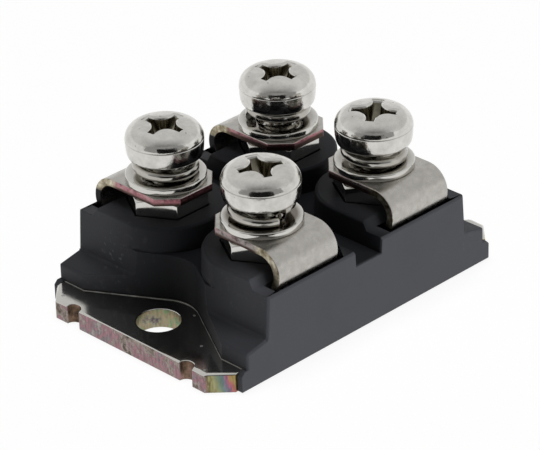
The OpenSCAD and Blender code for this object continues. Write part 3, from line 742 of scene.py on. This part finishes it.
def head_outline(sizes, height):
    """Half of a screw head: flat underside, rounded flank, creased ring, shoulder and dome."""
    base = mm(sizes.head_base_d) / 2
    ring = mm(sizes.head_d) / 2
    ring_h = mm(sizes.head_ring_h)
    crease = mm(sizes.head_crease)
    steps = 14
    flank = [(base + (ring - base) * math.sin(a), ring_h * (1 - math.cos(a)))
             for a in (math.pi / 2 * i / steps for i in range(steps))]
    line = [(ring, ring_h - crease), (ring - 0.8 * crease, ring_h),
            (ring - 0.2 * crease, ring_h + crease)]
    shoulder = head_shoulder(sizes, height)
    edge_r = shoulder[-1][0]
    dome = [(r, dome_height(sizes, height, r))
            for r in (edge_r * (1 - i / steps) for i in range(1, steps + 1))]
    return [(0, 0)] + flank + line + shoulder[1:] + dome


def cross_points(half, reach, bend):
    """Outline of a cross with four wings and a rounded lobe between each two."""
    steps = 12
    wing = [Vector((reach, -half)), Vector((reach, half))]
    for i in range(steps + 1):
        turn = math.radians(270 - 90 * i / steps)
        wing.append(Vector((half + bend * (1 + math.cos(turn)),
                            half + bend * (1 + math.sin(turn)))))
    return [Matrix.Rotation(math.radians(90 * i), 2) @ p for i in range(4) for p in wing]


def cross_recess(sizes, height):
    """The tool that forms a cross recess: four tapered wings, flared where they reach the dome."""
    half = mm(sizes.wing_w) / 2
    bend = mm(sizes.wing_round)
    lip = mm(sizes.recess_lip)
    reach = mm(sizes.drive_d) / 2 - lip
    tip = mm(sizes.drive_tip) / 2
    foot = height - mm(sizes.drive_depth)
    above = [Vector((*p, height + lip))
             for p in cross_points(half + 2 * lip, reach + 2 * lip, bend - 2 * lip)]
    layers = []
    for degrees in (80, 60, 40, 20, 0):
        turn = math.radians(degrees)
        flare = lip * (1 - math.cos(turn))
        rise = lip * (math.sin(turn) - 1.1)
        layers.append([Vector((*p, dome_height(sizes, height, p.length) + rise))
                       for p in cross_points(half + flare, reach + flare, bend - flare)])
    layers.append([Vector((*p, foot)) for p in cross_points(tip, tip, 0)])
    bm = bmesh.new()
    face = bm.faces.new([bm.verts.new(p) for p in above])
    for i, layer in enumerate(layers):
        made = bmesh.ops.extrude_face_region(bm, geom=[face])
        if i > 0:
            bmesh.ops.delete(bm, geom=[face], context="FACES_ONLY")
        face = next(f for f in made["geom"] if isinstance(f, bmesh.types.BMFace))
        moved = {old.to_tuple(4): new for old, new in zip(above, layer)}
        for vert in face.verts:
            vert.co = moved[vert.co.to_tuple(4)]
        above = layer
    bmesh.ops.remove_doubles(bm, verts=bm.verts, dist=0.001)
    bmesh.ops.triangulate(bm, faces=bm.faces)
    bmesh.ops.recalc_face_normals(bm, faces=bm.faces)
    return bm


def thread(sizes, low, high):
    """A threaded shank between two heights, flat at both ends."""
    pitch = mm(sizes.thread_pitch)
    crest = mm(sizes.thread_d) / 2
    root = crest - 0.61 * pitch
    flat_start, flat_end = 0.42 * pitch, 0.55 * pitch
    turns = math.ceil((high - low) / pitch) + 2
    points = []
    for i in range(turns):
        z = low - pitch * (1.5 - i)
        points += [(root, z), (crest, z + flat_start), (crest, z + flat_end)]
    bm = outline(points + [(root, low + pitch * (turns - 1.5))])
    steps = 48
    bmesh.ops.spin(bm, geom=bm.verts[:] + bm.edges[:], cent=(0, 0, 0), axis=UP, steps=steps,
                   dvec=(0, 0, pitch / steps), angle=math.tau)
    bmesh.ops.remove_doubles(bm, verts=bm.verts, dist=0.001)
    cut_off(bm, UP * low, -UP)
    cut_off(bm, UP * high, UP)
    bmesh.ops.recalc_face_normals(bm, faces=bm.faces)
    return bm


class MODULE_OT_screws(bpy.types.Operator):
    """Makes the pan-head screws with a cross recess and a real thread"""
    bl_idname = "module.screws"
    bl_label = "Screws"

    def execute(self, context):
        sizes = context.scene.module_sizes
        colours = context.scene.module_colours
        under = highest("lock_washers")
        head_h = mm(sizes.head_h)
        # How far the thread runs up into the head, and a height between its end and the recess
        overlap, recess_floor = 0.2, 0.5
        head = spun(head_outline(sizes, head_h), steps=96)
        bm = combined(head, cross_recess(sizes, head_h), "DIFFERENCE")
        shank = thread(sizes, lowest("terminal_screws") - under, overlap)
        bm = combined(bm, shank, "UNION")
        reach = mm(sizes.drive_d) / 2
        # Faces inside the cross recess take the darker recess nickel, a painted shade
        for face in bm.faces:
            centre = face.calc_center_median()
            sunk = head_h > centre.z > recess_floor and centre.xy.length < reach
            below = dome_height(sizes, head_h, centre.xy.length) - mm(sizes.recess_lip)
            face.material_index = 1 if sunk and centre.z < below else 0
        bmesh.ops.translate(bm, verts=bm.verts, vec=(0, 0, under))
        bm = at_posts(bm, [math.radians(turn) for turn, _ in POSTS.values()])
        finishes = [bright_nickel("bright_nickel_screw", colours.screw, colours.screw_dull,
                                  low=0.08, high=0.17, wave=0.5),
                    bright_nickel("nickel_recess_painted_shade", colours.recess, colours.recess_shade_dark,
                                  low=0.12, high=0.3, wave=0.3)]
        add_piece(bm, "pan_head_screws", "bright_steel", finishes, "terminal_screws")
        return {"FINISHED"}


class MODULE_OT_lock_washers(bpy.types.Operator):
    """Makes the split lock washers, each one left-hand turn of rounded square wire"""
    bl_idname = "module.lock_washers"
    bl_label = "Lock washers"

    def execute(self, context):
        sizes = context.scene.module_sizes
        colours = context.scene.module_colours
        low = lowest("lock_washers")
        wire = mm(sizes.lock_t)
        rise = highest("lock_washers") - low - wire
        inner, outer = mm(sizes.lock_hole) / 2, mm(sizes.lock_d) / 2
        sweep = math.tau - sizes.lock_split
        end_edge = mm(sizes.lock_edge) / 7
        steps = 84
        bm = bmesh.new()
        corners = [(inner, low), (outer, low), (outer, low + wire), (inner, low + wire)]
        face = bm.faces.new([bm.verts.new((r, 0, z)) for r, z in corners])
        bmesh.ops.bevel(bm, geom=face.verts[:], offset=mm(sizes.lock_edge), offset_type="OFFSET",
                        segments=6, profile=0.5, affect="VERTICES", material=-1)
        bmesh.ops.delete(bm, geom=bm.faces[:], context="FACES_ONLY")
        bmesh.ops.spin(bm, geom=bm.verts[:] + bm.edges[:], cent=(0, 0, 0), axis=UP, steps=steps,
                       dvec=(0, 0, rise / steps), angle=-sweep)
        bmesh.ops.remove_doubles(bm, verts=bm.verts, dist=0.0005)
        bmesh.ops.holes_fill(bm, edges=[e for e in bm.edges if e.is_boundary], sides=0)
        bmesh.ops.recalc_face_normals(bm, faces=bm.faces)
        round_edges(bm, sharp_edges(bm, degrees=60), end_edge, segments=2)
        turns = [math.radians(split) - sizes.lock_split / 2 for _, split in POSTS.values()]
        bm = at_posts(bm, turns)
        finish = bright_nickel("nickel_spring_steel", colours.spring, colours.spring_dull,
                               low=0.1, high=0.2, wave=0.1)
        add_piece(bm, "split_lock_washers", "bright_steel", [finish], "lock_washers")
        return {"FINISHED"}


class MODULE_OT_plain_washers(bpy.types.Operator):
    """Makes the blanked plain washers with rolled rims"""
    bl_idname = "module.plain_washers"
    bl_label = "Plain washers"

    def execute(self, context):
        sizes = context.scene.module_sizes
        colours = context.scene.module_colours
        low, high = lowest("plain_washers"), highest("plain_washers")
        inner = mm(sizes.washer_hole) / 2
        outer = mm(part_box("plain_washers")[1].x) - max(p.x for p in posts())
        rim = [(inner, low), (outer, low), (outer, high), (inner, high), (inner, low)]
        bm = spun(rim, steps=96)
        round_edges(bm, sharp_edges(bm, degrees=60), mm(sizes.washer_edge), segments=4)
        bm = at_posts(bm, [0] * len(POSTS))
        # Painted shade: each washer darkens to brown round its lock washer, most at the first screw
        finish = bright_nickel("nickel_plated_washer", colours.nickel, colours.nickel_dull,
                               low=0.08, high=0.18, wave=0.06, washer_shade=(0.85, 0.25, 0.4, 0.4))
        add_piece(bm, "blanked_washers", "bright_steel", [finish], "plain_washers")
        return {"FINISHED"}


class MODULE_OT_inside(bpy.types.Operator):
    """Gives the seal and the sealed pieces of the inside their finishes"""
    bl_idname = "module.inside"
    bl_label = "Inside"

    def execute(self, context):
        copper = plain_finish("etched_copper_foil", "#c98a62", "#a86a48",
                              grain=0.8, roughness=0.35, metallic=1.0)
        solder = plain_finish("reflowed_solder", "#b4b6b9", "#85878b",
                              grain=0.6, roughness=0.4, metallic=1.0)
        ribbon = plain_finish("rolled_aluminium_ribbon", "#d9dbde", "#b9bbbf",
                              grain=0.5, roughness=0.3, metallic=1.0)
        alumina = plain_finish("fired_alumina", "#efece4", "#dedad0", grain=0.4, roughness=0.6)
        silicon = plain_finish("passivated_silicon", "#5b5f6b", "#3f434f", grain=0.9, roughness=0.2)
        gel = plain_finish("soft_silicone_gel", "#e6e3da", "#d3cfc4", grain=2.0, roughness=0.15)
        finishes = {
            "base_seal": silicone_bead(),
            "substrate_solder": solder, "die_solder": solder, "terminal_solder": solder,
            "back_foil": copper, "drain_pad": copper, "source_pad": copper,
            "gate_pad": copper, "kelvin_pad": copper,
            "ceramic_substrate": alumina, "mosfet_die": silicon,
            "source_ribbons": ribbon, "gate_ribbon": ribbon, "kelvin_ribbon": ribbon,
            "gel_fill": gel,
        }
        for node, material in finishes.items():
            frame["nodes"][node].data.materials.clear()
            frame["nodes"][node].data.materials.append(material)
        return {"FINISHED"}


# Stage


def seen_directly(tree):
    """1 for rays from the camera, a mirror or glass, and 0 for light on dull surfaces."""
    path = add_node(tree, "LightPath").outputs
    first = add_node(tree, "Math", path["Is Camera Ray"], path["Is Glossy Ray"],
                     operation="MAXIMUM")
    both = add_node(tree, "Math", first, path["Is Transmission Ray"], operation="MAXIMUM")
    fallen = add_node(tree, "Math", path["Diffuse Depth"], 0.5, operation="LESS_THAN")
    return add_node(tree, "Math", both, fallen, operation="MULTIPLY")


def white_floor(stage):
    """Pale studio paper: white to the camera and to mirrors, with the module's soft shadow."""
    material, tree, shader, place = new_material("white_studio_paper")
    for unused in (shader, place.node):
        tree.nodes.remove(unused)
    # The paper's own shading is weak beside its glow
    weak = 0.2
    shade = add_node(tree, "BsdfDiffuse", tuple(weak * c for c in stage.floor))
    level = add_node(tree, "MapRange", seen_directly(tree), 0.0, 1.0, stage.floor_bounce,
                     stage.floor_glow)
    glow = add_node(tree, "Emission", named={"Strength": level})
    both = add_node(tree, "AddShader", shade, glow)
    feed(tree, tree.nodes["Material Output"], {"Surface": both})
    return material


def add_reflector(bm, name, middle, rim, centre, reach):
    """A plain card of the studio that shows only in mirrors, fading from a centre to its rim."""
    mesh = bpy.data.meshes.new(name)
    bm.to_mesh(mesh)
    bm.free()
    material, tree, shader, place = new_material(name)
    tree.nodes.remove(shader)
    away = add_node(tree, "VectorMath", place, centre, operation="DISTANCE")
    fade = add_node(tree, "MapRange", away, 0.0, reach, interpolation_type="SMOOTHSTEP")
    tint = add_node(tree, "Mix", fade, middle, rim, data_type="RGBA")
    glow = add_node(tree, "Emission", tint)
    feed(tree, tree.nodes["Material Output"], {"Surface": glow})
    mesh.materials.append(material)
    card = bpy.data.objects.new(name, mesh)
    bpy.context.scene.collection.objects.link(card)
    card.visible_camera = False
    card.visible_diffuse = False
    card.visible_transmission = False
    card.visible_shadow = False


def direction(azimuth, elevation):
    """The way from the module to a place at an azimuth and an elevation."""
    return Vector((math.sin(azimuth) * math.cos(elevation),
                   -math.cos(azimuth) * math.cos(elevation), math.sin(elevation)))


class MODULE_OT_stage(bpy.types.Operator):
    """Sets the floor, the light and the camera"""
    bl_idname = "module.stage"
    bl_label = "Stage"

    def execute(self, context):
        scene = context.scene
        stage = scene.module_stage
        floor = self.add_floor(scene, stage)
        self.set_world(scene, stage)
        front = direction(stage.key_azimuth, stage.key_elevation)
        overhead = direction(0, math.pi / 2)
        self.add_softbox(scene, "key_softbox", front, stage.key_power, floor, False)
        self.add_softbox(scene, "top_softbox", overhead, stage.top_power, floor, False)
        self.add_softbox(scene, "floor_softbox", overhead, stage.floor_power, floor, True)
        self.add_ceiling(stage)
        self.add_card(stage, "dark_card", stage.card, stage.card_near, stage.card_far,
                      stage.card_top, stage.card_spread)
        self.add_card(stage, "grey_wall", stage.wall, stage.wall_near, stage.wall_far,
                      stage.wall_top, stage.wall_spread)
        self.add_camera(scene, stage)
        scene.view_settings.view_transform = "Standard"
        return {"FINISHED"}

    def add_floor(self, scene, stage):
        """A wide pale floor."""
        bm = bmesh.new()
        bmesh.ops.create_grid(bm, x_segments=1, y_segments=1, size=stage.floor_size / 2)
        mesh = bpy.data.meshes.new("floor")
        bm.to_mesh(mesh)
        bm.free()
        mesh.materials.append(white_floor(stage))
        floor = bpy.data.objects.new("floor", mesh)
        scene.collection.objects.link(floor)
        return floor

    def add_softbox(self, scene, name, away, watts, floor, on_floor):
        """A large softbox that lights either the floor or all but the floor, and no mirror sees."""
        stage = scene.module_stage
        data = bpy.data.lights.new(name, "AREA")
        data.shape = "SQUARE"
        data.size = stage.softbox_size
        data.energy = watts
        lamp = bpy.data.objects.new(name, data)
        lamp.location = away * stage.softbox_distance
        lamp.rotation_euler = away.to_track_quat("Z", "Y").to_euler()
        lamp.visible_glossy = False
        lit = bpy.data.collections.new(name + "_lights")
        lit.objects.link(floor)
        lit.collection_objects[0].light_linking.link_state = "INCLUDE" if on_floor else "EXCLUDE"
        lamp.light_linking.receiver_collection = lit
        scene.collection.objects.link(lamp)

    def add_ceiling(self, stage):
        """A pale ceiling that only mirrors see, dimmer above the camera."""
        bm = bmesh.new()
        bmesh.ops.create_circle(bm, cap_ends=True, segments=64, radius=stage.floor_size / 2)
        centre = UP * stage.ceiling_height
        bmesh.ops.translate(bm, verts=bm.verts, vec=centre)
        centre += Matrix.Rotation(stage.azimuth, 3, "Z") @ Vector((0, -stage.ceiling_shift, 0))
        add_reflector(bm, "grey_ceiling", stage.ceiling_dim, stage.ceiling, centre,
                      stage.ceiling_reach)

    def add_card(self, stage, name, tint, near, far, top, spread):
        """A card that leans back from the floor on the camera's side, which only mirrors see."""
        off_floor = 0.5 * MM
        bm = bmesh.new()
        bmesh.ops.create_grid(bm, x_segments=1, y_segments=1, size=1)
        for vert in bm.verts:
            foot = vert.co.y < 0
            out = near if foot else far
            vert.co = (vert.co.x * out * math.tan(spread), -out, off_floor if foot else top)
        bmesh.ops.rotate(bm, verts=bm.verts, cent=(0, 0, 0),
                         matrix=Matrix.Rotation(stage.azimuth, 3, "Z"))
        add_reflector(bm, name, tint, tint, (0, 0, 0), far)

    def set_world(self, scene, stage):
        """A white background, and a little light from all round."""
        world = bpy.data.worlds.new("white_studio")
        world.use_nodes = True
        scene.world = world
        tree = world.node_tree
        level = add_node(tree, "MapRange", seen_directly(tree), 0.0, 1.0, stage.fill, 1.0)
        feed(tree, tree.nodes["Background"], {"Strength": level, "Color": (1, 1, 1, 1)})

    def add_camera(self, scene, stage):
        """The camera at the photograph's viewing angle, with a full-frame sensor."""
        data = bpy.data.cameras.new("camera")
        data.sensor_fit = "HORIZONTAL"
        data.sensor_width = 36
        data.lens = stage.lens
        data.clip_start = 0.01
        back = direction(stage.azimuth, stage.elevation)
        level = Vector((math.cos(stage.azimuth), math.sin(stage.azimuth), 0))
        above = back.cross(level)
        right = level * math.cos(stage.roll) + above * math.sin(stage.roll)
        upward = above * math.cos(stage.roll) - level * math.sin(stage.roll)
        aim = UP * stage.aim_height + right * stage.aim_right + upward * stage.aim_up
        turn = Matrix((right, upward, back)).transposed().to_4x4()
        camera = bpy.data.objects.new("camera", data)
        camera.matrix_world = Matrix.Translation(aim + back * stage.distance) @ turn
        scene.collection.objects.link(camera)
        scene.camera = camera


class MODULE_PT_panel(bpy.types.Panel):
    """Lists the module's pieces and settings"""
    bl_idname = "MODULE_PT_panel"
    bl_label = "Power module"
    bl_space_type = "VIEW_3D"
    bl_region_type = "UI"
    bl_category = "Module"

    def draw(self, context):
        for operator in PIECES:
            self.layout.operator(operator.bl_idname)
        for group in ("module_sizes", "module_colours", "module_stage"):
            settings = getattr(context.scene, group)
            box = self.layout.box()
            # The first two properties of any group are Blender's own
            for name in settings.bl_rna.properties.keys()[2:]:
                box.prop(settings, name)


PIECES = (MODULE_OT_housing, MODULE_OT_base_plate, MODULE_OT_terminals, MODULE_OT_nuts,
          MODULE_OT_screws, MODULE_OT_lock_washers, MODULE_OT_plain_washers, MODULE_OT_inside,
          MODULE_OT_stage)
CLASSES = (ModuleSizes, ModuleColours, ModuleStage, *PIECES, MODULE_PT_panel)


def register():
    for cls in CLASSES:
        bpy.utils.register_class(cls)
    bpy.types.Scene.module_sizes = PointerProperty(type=ModuleSizes)
    bpy.types.Scene.module_colours = PointerProperty(type=ModuleColours)
    bpy.types.Scene.module_stage = PointerProperty(type=ModuleStage)


def unregister():
    del bpy.types.Scene.module_stage
    del bpy.types.Scene.module_colours
    del bpy.types.Scene.module_sizes
    for cls in reversed(CLASSES):
        bpy.utils.unregister_class(cls)


def main():
    register()
    bpy.ops.module.housing()
    bpy.ops.module.base_plate()
    bpy.ops.module.terminals()
    bpy.ops.module.nuts()
    bpy.ops.module.screws()
    bpy.ops.module.lock_washers()
    bpy.ops.module.plain_washers()
    bpy.ops.module.inside()
    bpy.ops.module.stage()


if __name__ == "__main__":
    main()
